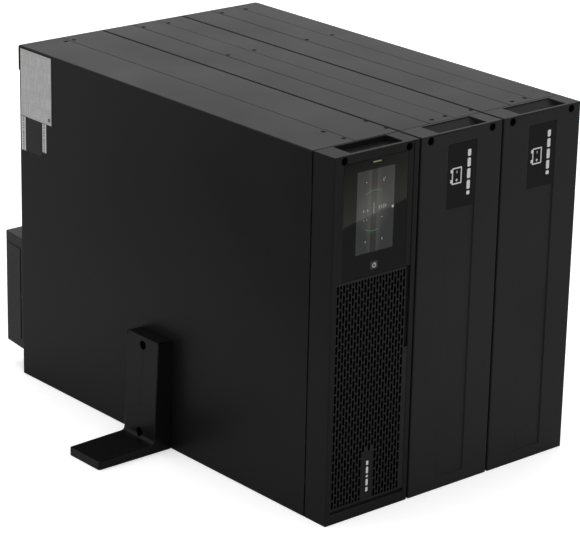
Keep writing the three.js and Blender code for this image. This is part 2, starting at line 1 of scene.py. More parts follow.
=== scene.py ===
import json
import math

import bmesh
import bpy
from mathutils import Matrix, Vector


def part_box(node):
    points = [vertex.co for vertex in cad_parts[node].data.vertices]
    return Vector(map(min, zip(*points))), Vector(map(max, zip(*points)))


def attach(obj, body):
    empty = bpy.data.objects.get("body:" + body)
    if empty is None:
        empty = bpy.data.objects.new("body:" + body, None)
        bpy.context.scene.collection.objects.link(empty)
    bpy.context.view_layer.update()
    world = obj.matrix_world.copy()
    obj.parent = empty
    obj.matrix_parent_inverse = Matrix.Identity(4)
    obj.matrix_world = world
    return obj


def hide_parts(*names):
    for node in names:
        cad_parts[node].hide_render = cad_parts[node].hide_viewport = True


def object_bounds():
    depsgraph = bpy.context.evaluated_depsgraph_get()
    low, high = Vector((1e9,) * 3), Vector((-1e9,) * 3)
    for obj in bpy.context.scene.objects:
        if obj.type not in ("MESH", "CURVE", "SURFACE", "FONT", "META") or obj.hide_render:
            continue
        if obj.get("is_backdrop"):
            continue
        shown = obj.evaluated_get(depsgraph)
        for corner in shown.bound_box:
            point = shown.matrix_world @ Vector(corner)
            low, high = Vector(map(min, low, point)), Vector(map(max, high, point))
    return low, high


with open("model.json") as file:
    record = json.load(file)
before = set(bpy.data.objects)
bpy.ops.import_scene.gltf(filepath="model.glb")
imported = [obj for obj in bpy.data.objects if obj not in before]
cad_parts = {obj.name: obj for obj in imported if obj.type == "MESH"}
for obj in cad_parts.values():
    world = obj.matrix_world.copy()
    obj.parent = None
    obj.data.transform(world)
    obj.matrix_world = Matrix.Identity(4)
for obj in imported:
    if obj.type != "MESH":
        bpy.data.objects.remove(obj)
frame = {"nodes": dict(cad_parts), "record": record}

# The looks of a power backup set: one inverter module (ups) and two battery modules, on a low bracket.
# Places inside a module are in millimetres from its front left bottom corner, as on a drawing:
# x to the right, y to the rear, z up. Everything made from them is in metres in the frame's own axes.

CAD_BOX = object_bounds()
NODES = frame["nodes"]
MM = 0.001
ROOT = "frame"
BATTERY_MODULES = ("battery1", "battery2")


def corner(module):
    """The front left bottom corner of a module: its left cover gives x, its bezel the front and the floor."""
    side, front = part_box(f"{module}_left_cover")[0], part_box(f"{module}_front_bezel")[0]
    return Vector((side.x, front.y, front.z))


SCREEN = {"left": 34.6, "right": 90.2, "bottom": 319.2, "top": 415.4, "lane": 60.2, "ring": 367.5}
UPS = corner("ups")
BATTERY = {name: corner(name) for name in BATTERY_MODULES}


# ------------------------------------------------------------------------------------ shader nodes
class Shader:
    """A node material under construction, ending in one Principled BSDF."""

    def __init__(self, name):
        self.material = bpy.data.materials.new(name)
        self.material.use_nodes = True
        self.tree = self.material.node_tree
        self.surface = self.tree.nodes["Principled BSDF"]
        self.place = self.add("ShaderNodeTexCoord").outputs["Object"]

    def add(self, kind, inputs=None, **settings):
        node = self.tree.nodes.new(kind)
        for name, value in settings.items():
            setattr(node, name, value)
        for name, value in (inputs or {}).items():
            self.join(value, node.inputs[name])
        return node

    def join(self, value, socket):
        if isinstance(value, bpy.types.NodeSocket):
            self.tree.links.new(value, socket)
        else:
            socket.default_value = value

    def set(self, **inputs):
        for name, value in inputs.items():
            self.join(value, self.surface.inputs[name.replace("_", " ")])

    def math(self, operation, *values):
        return self.add("ShaderNodeMath", dict(enumerate(values)), operation=operation).outputs[0]

    def noise(self, scale, detail=2.0, place=None):
        inputs = {"Vector": place or self.place, "Scale": scale, "Detail": detail}
        return self.add("ShaderNodeTexNoise", inputs).outputs["Fac"]

    def span(self, value, low, high, to_low=0.0, to_high=1.0):
        """value from low..high carried to to_low..to_high, and held there outside it."""
        inputs = {"Value": value, "From Min": low, "From Max": high, "To Min": to_low, "To Max": to_high}
        return self.add("ShaderNodeMapRange", inputs).outputs["Result"]

    def mix(self, share, first, second):
        """The first colour at share 0, the second at share 1."""
        node = self.add("ShaderNodeMix", data_type="RGBA")
        colours = [socket for socket in node.inputs if socket.type == "RGBA"]
        for value, socket in zip((share, first, second), (node.inputs[0], *colours)):
            self.join(value, socket)
        return next(socket for socket in node.outputs if socket.type == "RGBA")

    def level(self, socket, value):
        """A number that is the same all over the surface, set on the shader's own socket."""
        self.surface.inputs[socket].default_value = value

    def stretched(self, x, y, z):
        """Object coordinates, scaled along each axis."""
        inputs = {"Vector": self.place, "Scale": (x, y, z)}
        return self.add("ShaderNodeMapping", inputs).outputs["Vector"]

    def bump(self, height, strength, distance):
        inputs = {"Height": height, "Strength": strength, "Distance": distance}
        self.set(Normal=self.add("ShaderNodeBump", inputs).outputs["Normal"])

    def edges(self, radius):
        """1 along outer and inner edges, 0 on open faces."""
        rounded = self.add("ShaderNodeBevel", {"Radius": radius}, samples=4).outputs["Normal"]
        true = self.add("ShaderNodeNewGeometry").outputs["True Normal"]
        dot = self.add("ShaderNodeVectorMath", {0: rounded, 1: true}, operation="DOT_PRODUCT")
        return self.span(dot.outputs["Value"], 0.995, 0.86)


def grey(value, tint=(1.0, 1.0, 1.0)):
    return (value * tint[0], value * tint[1], value * tint[2], 1.0)


COOL = (0.985, 1.0, 1.015)


def powder_coat(name="powder_coat", gloss=0.0):
    """Satin black powder coat: an even orange peel, faint clouds, and edges a little paler, partly rubbed
    wear and partly a painted highlight.
    """
    s = Shader(name)
    clouds = s.noise(9.0, 4.0)
    peel = s.noise(900.0, 2.0)
    body = s.mix(s.span(clouds, 0.3, 0.7), grey(0.0036), grey(0.0050))
    # Paler edges: partly rubbed wear, partly a painted highlight along the rims.
    wear_and_highlight = s.math("MULTIPLY", s.edges(0.0009), s.span(s.noise(60.0, 5.0), 0.42, 0.62))
    s.set(Base_Color=s.mix(s.math("MULTIPLY", wear_and_highlight, 0.40), body, grey(0.05)))
    broad = s.span(clouds, 0.25, 0.75, 0.36 - gloss, 0.43 - gloss)
    s.set(Roughness=s.math("ADD", broad, s.span(peel, 0.3, 0.7, -0.02, 0.02)))
    s.level("Specular IOR Level", 0.085)
    s.bump(peel, 0.12, 0.0002)
    return s.material


def moulded_black(name, low, high, rough, spark=0.10, specular=0.10):
    """Black plastic from a spark-eroded mould: a fine pitted grain, slightly shinier on edges."""
    s = Shader(name)
    clouds = s.noise(7.0, 3.0)
    pits = s.noise(1500.0, 1.0)
    speckle = s.noise(420.0, 2.0)
    s.set(Base_Color=s.mix(s.span(clouds, 0.3, 0.7), grey(low), grey(high, COOL)))
    s.level("Specular IOR Level", specular)
    polished = s.span(s.edges(0.0007), 0.0, 1.0, 0.0, -0.10)
    s.set(Roughness=s.math("ADD", s.span(speckle, 0.3, 0.7, rough - 0.03, rough + 0.03), polished))
    s.bump(s.math("ADD", pits, s.math("MULTIPLY", speckle, 0.5)), spark, 0.00015)
    return s.material


def gloss_black():
    """Polished black acrylic with faint wipe marks."""
    s = Shader("gloss_window")
    wipes = s.noise(1.0, 4.0, s.stretched(60.0, 60.0, 14.0))
    s.set(Base_Color=s.mix(s.span(wipes, 0.3, 0.7), grey(0.0009), grey(0.0016, COOL)))
    s.set(Roughness=s.span(wipes, 0.35, 0.75, 0.01, 0.05))
    s.level("Specular IOR Level", 0.085)
    return s.material


def lit_screen():
    """The display: a faint grey-green glow behind glass, with a dark lane up it between two pale lines."""
    s = Shader("lit_screen")
    lane = UPS.x + SCREEN["lane"] * MM
    middle = UPS.z + SCREEN["ring"] * MM
    split = s.add("ShaderNodeSeparateXYZ", {"Vector": s.place}).outputs
    aside = s.math("ABSOLUTE", s.math("SUBTRACT", split["X"], lane))
    away = s.math("ABSOLUTE", s.math("SUBTRACT", split["Z"], middle))
    spread = s.span(away, 0.0, 0.052, 1.0, 0.3)
    uneven = s.span(s.noise(1.0, 2.0, s.stretched(160.0, 1.0, 14.0)), 0.2, 0.8, 0.6, 1.0)
    outside = s.span(aside, 0.0038, 0.0052)
    band = s.math("MULTIPLY", s.math("MULTIPLY", outside, s.span(aside, 0.0052, 0.0120, 1.0, 0.0)), spread)
    across = s.math("POWER", s.math("DIVIDE", aside, 0.026), 2.0)
    along = s.math("POWER", s.math("DIVIDE", away, 0.030), 2.0)
    halo = s.span(s.math("ADD", across, along), 0.0, 1.0, 1.0, 0.0)
    glow = s.mix(outside, grey(0.0045), grey(0.0105, (0.94, 1.06, 1.0)))
    glow = s.mix(s.math("MULTIPLY", halo, uneven), glow, grey(0.036, (1.0, 1.01, 0.94)))
    glow = s.mix(s.math("MULTIPLY", band, uneven), glow, grey(0.050, (0.98, 1.03, 0.97)))
    s.set(Base_Color=grey(0.004), Emission_Color=glow)
    s.level("Emission Strength", 1.0)
    s.set(Roughness=s.span(s.noise(1800.0, 0.0), 0.3, 0.7, 0.01, 0.04))
    s.level("Specular IOR Level", 0.22)
    return s.material


def lit(name, colour, strength):
    """A lamp or lit mark, a little uneven as light pipes are."""
    s = Shader(name)
    uneven = s.noise(300.0, 1.0)
    bright = tuple(min(1.0, value * 1.15) for value in colour[:3]) + (1.0,)
    s.set(Base_Color=grey(0.01), Emission_Color=s.mix(uneven, colour, bright))
    s.level("Emission Strength", strength)
    s.level("Roughness", 0.3)
    return s.material


def printed(name, colour):
    """Screen-printed ink: slightly patchy cover and a matt, grainy surface."""
    s = Shader(name)
    cover = s.noise(2500.0, 2.0)
    thin = tuple(0.82 * value for value in colour[:3]) + (1.0,)
    s.set(Base_Color=s.mix(s.span(cover, 0.3, 0.6), thin, colour))
    s.set(Roughness=s.span(cover, 0.3, 0.7, 0.45, 0.6))
    return s.material


def foil_label():
    """Silver foil with faint columns of printed dashes that run up it, in blocks that spell nothing."""
    s = Shader("foil_label")
    split = s.add("ShaderNodeSeparateXYZ", {"Vector": s.place}).outputs
    columns = s.math("MULTIPLY", split["Y"], 420.0)
    within = s.math("FRACT", columns)

    def along_columns(scale):
        inputs = {"X": s.math("FLOOR", columns), "Y": s.math("MULTIPLY", split["Z"], scale)}
        return s.add("ShaderNodeCombineXYZ", inputs).outputs[0]

    dashes = s.span(s.noise(1.0, 1.0, along_columns(900.0)), 0.44, 0.50)
    runs = s.span(s.noise(1.0, 0.0, along_columns(60.0)), 0.40, 0.48)
    ink = s.math("MULTIPLY", s.math("MULTIPLY", s.span(within, 0.40, 0.50), dashes), runs)
    brushed = s.noise(1.0, 3.0, s.stretched(1.0, 900.0, 30.0))
    silver = s.mix(s.span(brushed, 0.3, 0.7), grey(0.31), grey(0.37))
    s.set(Base_Color=s.mix(s.math("MULTIPLY", ink, 0.42), silver, grey(0.12)))
    s.set(Roughness=s.span(brushed, 0.3, 0.7, 0.42, 0.52), Metallic=0.2)
    return s.material


def paper_label():
    """A white paper strip with printed ticks of uneven weight down its middle."""
    s = Shader("paper_label")
    split = s.add("ShaderNodeSeparateXYZ", {"Vector": s.place}).outputs
    ticks = s.add("ShaderNodeCombineXYZ", {"Z": s.math("MULTIPLY", split["Z"], 620.0)}).outputs[0]
    marks = s.span(s.noise(1.0, 2.0, ticks), 0.47, 0.50)
    lane = s.math("FRACT", s.math("MULTIPLY", s.math("SUBTRACT", split["Y"], UPS.y + 0.582), 1 / 0.0088))
    middle = s.math("MULTIPLY", s.span(lane, 0.28, 0.34), s.span(lane, 0.66, 0.72, 1.0, 0.0))
    fibre = s.noise(1200.0, 3.0)
    paper = s.mix(s.span(fibre, 0.3, 0.7), grey(0.36), grey(0.44))
    s.set(Base_Color=s.mix(s.math("MULTIPLY", s.math("MULTIPLY", marks, middle), 0.8), paper, grey(0.03)))
    s.set(Roughness=s.span(fibre, 0.3, 0.7, 0.6, 0.75))
    s.bump(fibre, 0.1, 0.00005)
    return s.material


def metal(name, value, rough, streaks=(1.0, 1.0, 1.0)):
    """Bare or plated metal; streaks stretches its grain along one axis."""
    s = Shader(name)
    x, y, z = (260.0 * part for part in streaks)
    grain = s.noise(1.0, 4.0, s.stretched(x, y, z))
    clouds = s.noise(25.0, 3.0)
    s.set(Base_Color=s.mix(s.span(clouds, 0.3, 0.7), grey(0.85 * value), grey(value)), Metallic=1.0)
    s.set(Roughness=s.span(grain, 0.25, 0.75, rough - 0.07, rough + 0.07))
    s.bump(grain, 0.06, 0.0001)
    return s.material


def spangled_zinc():
    """Hot-dip zinc: flat crystals that catch the light one by one."""
    s = Shader("spangled_zinc")
    cells = s.add("ShaderNodeTexVoronoi", {"Vector": s.place, "Scale": 130.0}).outputs["Color"]
    tone = s.add("ShaderNodeSeparateColor", {"Color": cells}).outputs[0]
    scratches = s.noise(1.0, 5.0, s.stretched(40.0, 9.0, 900.0))
    s.set(Base_Color=s.mix(tone, grey(0.36), grey(0.52, COOL)), Metallic=1.0)
    s.set(Roughness=s.math("ADD", s.span(tone, 0.0, 1.0, 0.30, 0.46), s.span(scratches, 0.5, 0.8, 0.0, 0.12)))
    s.bump(scratches, 0.05, 0.0001)
    return s.material


def circuit_board():
    """Green solder mask over copper tracks."""
    s = Shader("circuit_board")
    grid = s.stretched(90.0, 90.0, 90.0)
    tracks = s.add("ShaderNodeTexBrick", {"Vector": grid, "Scale": 1.0, "Mortar Size": 0.03}).outputs["Fac"]
    fine = s.noise(400.0, 2.0)
    mask = s.mix(s.span(fine, 0.3, 0.7), (0.012, 0.055, 0.022, 1.0), (0.016, 0.075, 0.030, 1.0))
    s.set(Base_Color=s.mix(tracks, mask, (0.05, 0.14, 0.05, 1.0)))
    s.set(Roughness=s.span(fine, 0.3, 0.7, 0.28, 0.4))
    s.bump(tracks, 0.2, 0.0001)
    return s.material


def shade_darkened_foam():
    """Reticulated filter foam: black, and darker still as painted shade in the grille's slots."""
    s = Shader("shade_darkened_foam")
    cells = s.add("ShaderNodeTexVoronoi", {"Vector": s.place, "Scale": 700.0}).outputs["Distance"]
    # Near-black cells: the foam's own black, darkened further as painted shade behind the slots.
    s.set(Base_Color=s.mix(s.span(cells, 0.1, 0.5), grey(0.0008), grey(0.0030)))
    s.level("Roughness", 1.0)
    s.level("Specular IOR Level", 0.0)
    s.bump(cells, 0.8, 0.0008)
    return s.material


def copper_winding():
    """Enamelled wire laid side by side round the core."""
    s = Shader("copper_winding")
    low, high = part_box("ups_choke")
    centre = (low + high) / 2
    around = s.add("ShaderNodeMapping", {"Vector": s.place, "Location": -centre}).outputs["Vector"]
    split = s.add("ShaderNodeSeparateXYZ", {"Vector": around}).outputs
    turn = s.math("ARCTAN2", split["Y"], split["Z"])
    wire = s.math("ABSOLUTE", s.math("SINE", s.math("MULTIPLY", turn, 44.0)))
    s.set(Base_Color=s.mix(wire, (0.11, 0.028, 0.008, 1.0), (0.42, 0.13, 0.04, 1.0)))
    s.set(Metallic=0.6, Roughness=s.span(wire, 0.0, 1.0, 0.5, 0.25))
    s.bump(wire, 0.6, 0.0008)
    return s.material


def pale_floor():
    """A plain pale studio floor with the faintest tooth."""
    s = Shader("pale_floor")
    tooth = s.noise(60.0, 4.0)
    s.set(Base_Color=s.mix(tooth, grey(0.80), grey(0.82)), Roughness=s.span(tooth, 0.3, 0.7, 0.85, 0.95))
    s.level("Specular IOR Level", 0.0)
    seen = s.add("ShaderNodeLightPath").outputs["Is Camera Ray"]
    s.set(Emission_Color=grey(1.0), Emission_Strength=s.math("MULTIPLY", seen, 0.45))
    return s.material


LOOK = {
    "steel_paint": powder_coat(),
    "bracket_paint": powder_coat("bracket_paint", 0.14),
    "bezel_plastic": moulded_black("bezel_plastic", 0.0115, 0.0140, 0.40, specular=0.06),
    "ups_bezel": moulded_black("ups_bezel", 0.0072, 0.0090, 0.40, specular=0.05),
    "badge_black": moulded_black("badge_black", 0.0085, 0.0105, 0.34, specular=0.06),
    "window_gloss": gloss_black(),
    "screen": lit_screen(),
    "button_plastic": moulded_black("button_plastic", 0.020, 0.026, 0.38, 0.05),
    "light_pipe": lit("light_pipe", (0.70, 0.90, 0.38, 1.0), 0.16),
    "mark_white": printed("mark_white", grey(0.50)),
    "mark_green": lit("mark_green", (0.04, 0.16, 0.045, 1.0), 1.0),
    "mark_lit": lit("mark_lit", (0.55, 0.58, 0.55, 1.0), 0.50),
    "grille_plastic": moulded_black("grille_plastic", 0.0105, 0.0130, 0.45, specular=0.06),
    # Near black without gloss: painted shade on the walls of the grille's slots.
    "slot_wall_painted_shade": moulded_black("slot_wall_painted_shade", 0.0006, 0.0010, 0.9, 0.3, specular=0.0),
    "filter_foam": shade_darkened_foam(),
    "circuit_board": circuit_board(),
    "heatsink_metal": metal("heatsink_metal", 0.55, 0.38, streaks=(1.0, 0.05, 1.0)),
    "winding": copper_winding(),
    "capacitor_sleeve": moulded_black("capacitor_sleeve", 0.010, 0.016, 0.22, 0.02),
    "fan_plastic": moulded_black("fan_plastic", 0.009, 0.012, 0.42),
    "terminal_plastic": moulded_black("terminal_plastic", 0.018, 0.024, 0.45),
    "tray_zinc": spangled_zinc(),
    "battery_case": moulded_black("battery_case", 0.020, 0.028, 0.45, 0.16),
    "socket_plastic": moulded_black("socket_plastic", 0.016, 0.021, 0.42),
    "lever_plastic": moulded_black("lever_plastic", 0.40, 0.46, 0.35, 0.04),
    "screw_steel": metal("screw_steel", 0.045, 0.38),
    "screw_black": moulded_black("screw_black", 0.0030, 0.0050, 0.6, specular=0.03),
    "bright_metal": metal("bright_metal", 0.62, 0.22),
    "label_foil": foil_label(),
    "label_white": paper_label(),
    "label_black": moulded_black("label_black", 0.006, 0.009, 0.18, 0.02),
}


# ------------------------------------------------------------------------------------ mesh helpers
def disc(build, radius, thickness, sides, place):
    bmesh.ops.create_cone(
        build, cap_ends=True, segments=sides, radius1=radius, radius2=radius, depth=thickness, matrix=place
    )


SHARP = math.radians(32.0)


def finish_shading(piece):
    """Smooth rims and sharp corners, with the open faces left flat."""
    for polygon in piece.data.polygons:
        polygon.use_smooth = True
    piece.data.set_sharp_from_angle(angle=SHARP)
    weighted = piece.modifiers.new("weighted normals", "WEIGHTED_NORMAL")
    weighted.keep_sharp = True


def round_edges(piece, width):
    bevel = piece.modifiers.new("rounded edges", "BEVEL")
    bevel.limit_method = "ANGLE"
    bevel.angle_limit = SHARP
    bevel.width = width * MM
    bevel.segments = 2
    bevel.use_clamp_overlap = False
    bevel.harden_normals = True


def show(piece, body, look):
    """Gives a new piece its material, and lets it move with a body."""
    piece.data.materials.clear()
    piece.data.materials.append(LOOK[look])
    if piece.name not in bpy.context.scene.collection.objects:
        bpy.context.scene.collection.objects.link(piece)
    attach(piece, body)
    return piece


BODY_OF = {node: body for body, nodes in frame["record"]["behaviour"]["bodies"].items() for node in nodes}
SLOT_OF = {row["node"]: row["material_slot"] for row in frame["record"]["subparts"]}


FINISH = {  # pieces whose surface differs a little from the rest of their material
    "stand_left": "bracket_paint",
    "stand_right": "bracket_paint",
    "ups_front_bezel": "ups_bezel",
    "ups_grille_badge": "badge_black",
}


def cut_dimples(mesh, node):
    """Sinks a round seat into a cover for each screw on its top."""
    places = top_screw_places(node)
    if not places:
        return
    module, top = module_of(node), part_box(node)[1].z
    radius, depth = DIMPLE["radius"] * MM, 2 * DIMPLE["depth"] * MM
    build = bmesh.new()
    for x, y in places:
        seat = Matrix.Translation((module.x + x * MM, module.y + y * MM, top))
        disc(build, radius, depth, 20, seat)
    tool_mesh = bpy.data.meshes.new("cutter")
    build.to_mesh(tool_mesh)
    build.free()
    tool = bpy.data.objects.new("cutter", tool_mesh)
    part = bpy.data.objects.new("being_cut", mesh)
    for thing in (tool, part):
        bpy.context.scene.collection.objects.link(thing)
    boolean = part.modifiers.new("seats", "BOOLEAN")
    boolean.operation = "DIFFERENCE"
    boolean.solver = "EXACT"
    boolean.object = tool
    bpy.context.view_layer.update()
    result = part.evaluated_get(bpy.context.evaluated_depsgraph_get()).to_mesh()
    build = bmesh.new()
    build.from_mesh(result)
    build.to_mesh(mesh)
    build.free()
    bpy.data.objects.remove(part)
    bpy.data.objects.remove(tool)


def fill_seat(mesh, node):
    """Widens a window a little about its middle, so that it closes the gap round its edge."""
    margin = 0.22
    low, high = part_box(node)
    middle, size = (low + high) / 2, high - low
    for vertex in mesh.vertices:
        for axis in (0, 2):
            grown = 1 + 2 * margin * MM / size[axis]
            vertex.co[axis] = middle[axis] + (vertex.co[axis] - middle[axis]) * grown


def refined(node, width):
    """A copy of a CAD node stands in for it, with its flat faces whole and its edges rounded."""
    mesh = NODES[node].data.copy()
    build = bmesh.new()
    build.from_mesh(mesh)
    bmesh.ops.remove_doubles(build, verts=build.verts, dist=1e-6)
    flat = math.radians(0.3)
    bmesh.ops.dissolve_limit(build, angle_limit=flat, verts=build.verts, edges=build.edges)
    build.to_mesh(mesh)
    build.free()
    if "custom_normal" in mesh.attributes:
        mesh.attributes.remove(mesh.attributes["custom_normal"])
    cut_dimples(mesh, node)
    if "window" in node:
        fill_seat(mesh, node)
    build = bmesh.new()
    build.from_mesh(mesh)
    bmesh.ops.connect_verts_concave(build, faces=build.faces)
    build.to_mesh(mesh)
    build.free()
    piece = bpy.data.objects.new(f"{node}_finished", mesh)
    if width:
        round_edges(piece, width)
    show(piece, BODY_OF[node], SLOT_OF[node])
    if node in FINISH:
        piece.data.materials[0] = LOOK[FINISH[node]]
    finish_shading(piece)
    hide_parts(node)
    return piece


FACING = {
    "front": Matrix(((1, 0, 0), (0, 0, -1), (0, 1, 0))),
    "rear": Matrix(((-1, 0, 0), (0, 0, 1), (0, 1, 0))),
    "left": Matrix(((0, 0, -1), (-1, 0, 0), (0, 1, 0))),
    "right": Matrix(((0, 0, 1), (1, 0, 0), (0, 1, 0))),
    "top": Matrix.Identity(3),
}


def meshed(name, curve):
    """The mesh of a curve, with its fill and bevel."""
    drawing = bpy.data.objects.new(name, curve)
    bpy.context.scene.collection.objects.link(drawing)
    bpy.context.view_layer.update()
    graph = bpy.context.evaluated_depsgraph_get()
    mesh = bpy.data.meshes.new_from_object(drawing.evaluated_get(graph))
    bpy.data.objects.remove(drawing)
    return mesh


def drawn(name, loops, thickness, facing, at, body, look, bevel=0.0, turn=None):
    """Flat shapes drawn in millimetres, given a thickness and rounded rims, and set on a face.
    Loops are outlines and holes alike: a loop inside another is a hole. The drawing's origin goes to
    the point at, and its back lies on it."""
    curve = bpy.data.curves.new(name, "CURVE")
    curve.dimensions = "2D"
    curve.fill_mode = "BOTH"
    curve.extrude = thickness / 2 - bevel
    curve.bevel_depth = bevel
    curve.bevel_resolution = 1
    curve.offset = -bevel
    for loop in loops:
        spline = curve.splines.new("POLY")
        spline.points.add(len(loop) - 1)
        for point, (x, y) in zip(spline.points, loop):
            point.co = (x, y, 0, 1)
        spline.use_cyclic_u = True
    mesh = meshed(name, curve)
    place = FACING[facing].to_4x4()
    if turn:
        place = turn @ place
    place.translation = at
    mesh.transform(place @ Matrix.Scale(MM, 4) @ Matrix.Translation((0, 0, thickness / 2)))
    piece = bpy.data.objects.new(name, mesh)
    show(piece, body, look)
    finish_shading(piece)
    return piece


def arc(x, y, radius, start, end, steps):
    """Points on a circle, from one angle to another, in degrees."""
    angles = [math.radians(start + (end - start) * i / steps) for i in range(steps + 1)]
    return [(x + radius * math.cos(a), y + radius * math.sin(a)) for a in angles]


def circle(x, y, radius, sides=24):
    return arc(x, y, radius, 0, 360 - 360 / sides, sides - 1)


def rounded(x0, x1, y0, y1, radius):
    """A rectangle with round corners."""
    return (
        arc(x1 - radius, y1 - radius, radius, 0, 90, 4)
        + arc(x0 + radius, y1 - radius, radius, 90, 180, 4)
        + arc(x0 + radius, y0 + radius, radius, 180, 270, 4)
        + arc(x1 - radius, y0 + radius, radius, 270, 360, 4)
    )


def cross(x, y, reach, half):
    """The recess of a cross-head screw."""
    quarter = [(half, half), (half, reach), (-half, reach), (-half, half)]
    points = []
    for step in range(4):
        c, s = [(1, 0), (0, 1), (-1, 0), (0, -1)][step]
        points += [(x + c * px - s * py, y + s * px + c * py) for px, py in quarter[:3]]
    return points


def hexagon(x, y, radius):
    return circle(x, y, radius, 6)


def spot(module, x, y, z):
    """A place in a module, in the frame's metres."""
    return module + Vector((x, y, z)) * MM


def tube(name, paths, radius, body, look, closed=False):
    """Round wire along one or more lists of points, in metres."""
    curve = bpy.data.curves.new(name, "CURVE")
    curve.dimensions = "3D"
    curve.bevel_depth = radius * MM
    curve.bevel_resolution = 2
    curve.use_fill_caps = True
    for path in paths:
        spline = curve.splines.new("POLY")
        spline.points.add(len(path) - 1)
        for point, place in zip(spline.points, path):
            point.co = (*place, 1)
        spline.use_cyclic_u = closed
    mesh = meshed(name, curve)
    piece = bpy.data.objects.new(name, mesh)
    show(piece, body, look)
    for polygon in piece.data.polygons:
        polygon.use_smooth = True
    return piece


# ------------------------------------------------------------------------------------ carried-over nodes
SHEET_EDGE = 0.35
MOULDED_EDGE = 0.6
EDGE = {
    "ups_front_bezel": MOULDED_EDGE,
    "ups_display_window": 0.12,
    "ups_power_button": 0.5,
    "ups_status_light": 0.15,
    "ups_grille_badge": 0.3,
    "ups_rating_plate": 0.05,
    "ups_terminal_box": 0.7,
    "stand_left": 0.9,
    "stand_right": 0.9,
}
MADE_HERE = {"ups_grille"} | {f"{m}_cells_{place}" for m in BATTERY_MODULES for place in ("upper", "lower")}


def carry_over():
    """Every CAD node that has no piece of its own here, with rounded edges and its material."""
    for node in sorted(NODES):
        if node in MADE_HERE:
            continue
        soft = "bezel" in node or "breaker" in node or "socket" in node
        refined(node, EDGE.get(node, MOULDED_EDGE if soft else SHEET_EDGE))


# ------------------------------------------------------------------------------------ UPS front
GRILLE = {
    "left": 8.2, "right": 118.8, "bottom": 17.0, "top": 291.2, "notch_left": 113.4, "notch_bottom": 193.5,
}
SLOT = {"columns": 23, "rows": 23, "first": 10.8, "last": 110.1, "bottom": 18.0, "top": 289.2}
SLOT_SIZE = {"width": 3.1, "length": 10.4, "end": 4.5}  # end is the length of the short slots
BADGE = {"left": 53.5, "right": 71.5, "bottom": 20.2, "top": 76.0, "seat": 0.15, "beside": 1.9, "above": 1.5}


def slot_loop(x, z, length):
    """One long hole with round ends."""
    r = SLOT_SIZE["width"] / 2
    straight = length / 2 - r
    return arc(x, z + straight, r, 0, 180, 5) + arc(x, z - straight, r, 180, 360, 5)


def grille_slots():
    pitch_x = (SLOT["last"] - SLOT["first"]) / (SLOT["columns"] - 1)
    pitch_z = (SLOT["top"] - SLOT["bottom"]) / SLOT["rows"]
    for column in range(SLOT["columns"]):
        x = SLOT["first"] + column * pitch_x
        full = [(SLOT["bottom"] + (i + 0.5) * pitch_z, SLOT_SIZE["length"]) for i in range(SLOT["rows"])]
        if column % 2:
            inset = (SLOT_SIZE["end"] + pitch_z - SLOT_SIZE["length"]) / 2
            full = [(SLOT["bottom"] + i * pitch_z, SLOT_SIZE["length"]) for i in range(1, SLOT["rows"])]
            full.append((SLOT["bottom"] + inset, SLOT_SIZE["end"]))
            full.append((SLOT["top"] - inset, SLOT_SIZE["end"]))
        for z, length in full:
            beside = not BADGE["left"] - BADGE["beside"] < x < BADGE["right"] + BADGE["beside"]
            above = z - length / 2 >= BADGE["top"] + BADGE["above"]
            if beside or above:
                yield slot_loop(x, z, length)


def fine_grille():
    """The grille with every slot cut: a thin dark grey skin, and behind it a near-black body that is painted
    shade on the slots' walls.
    """
    g = GRILLE
    outline = [
        (g["left"], g["bottom"]), (g["right"], g["bottom"]), (g["right"], g["notch_bottom"]),
        (g["notch_left"], g["notch_bottom"]), (g["notch_left"], g["top"]), (g["left"], g["top"]),
    ]
    low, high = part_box("ups_grille")
    thickness = (high.y - low.y) / MM
    skin = 0.5
    seat = rounded(
        BADGE["left"] - BADGE["seat"], BADGE["right"] + BADGE["seat"],
        BADGE["bottom"] - BADGE["seat"], BADGE["top"] + BADGE["seat"], 1.2,
    )
    loops = [outline, seat, *grille_slots()]
    body = BODY_OF["ups_grille"]
    front = Vector((UPS.x, low.y + skin * MM, UPS.z))
    piece = drawn("ups_grille_fine", loops, skin, "front", front, body, "grille_plastic", 0.12)
    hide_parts("ups_grille")
    back = Vector((UPS.x, high.y, UPS.z))
    # The body behind the skin is painted shade: it darkens the slots' walls.
    drawn("ups_grille_shade_core", loops, thickness - skin, "front", back, body, "slot_wall_painted_shade")


def bars(x0, x1, z0, z1, weights, gap, radius=0.9):
    """A column of plain rounded bars between z0 and z1, their heights in proportion to weights."""
    room = z1 - z0 - gap * (len(weights) - 1)
    loops, z = [], z0
    for weight in weights:
        height = room * weight / sum(weights)
        loops.append(rounded(x0, x1, z, z + height, min(radius, height / 2 - 0.01)))
        z += height + gap
    return loops


INK = 0.06  # thickness of printed marks


def badge_mark():
    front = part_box("ups_grille_badge")[0].y
    at = Vector((UPS.x, front, UPS.z))
    loops = bars(61.3, 64.5, 27.7, 66.0, (2, 3, 1, 3, 2), 2.2)
    body = BODY_OF["ups_grille_badge"]
    drawn("ups_badge_mark", loops, INK, "front", at, body, "mark_white")


def power_icon():
    low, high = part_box("ups_power_button")
    middle = ((low + high) / 2 - UPS) / MM
    x, z = middle.x, middle.z
    outer = arc(x, z, 2.8, 120, 420, 20)
    inner = arc(x, z, 2.05, 420, 120, 20)
    stroke = rounded(x - 0.38, x + 0.38, z + 0.5, z + 3.4, 0.37)
    at = Vector((UPS.x, low.y, UPS.z))
    body = BODY_OF["ups_power_button"]
    drawn("ups_power_icon", [outer + inner, stroke], INK, "front", at, body, "mark_white")


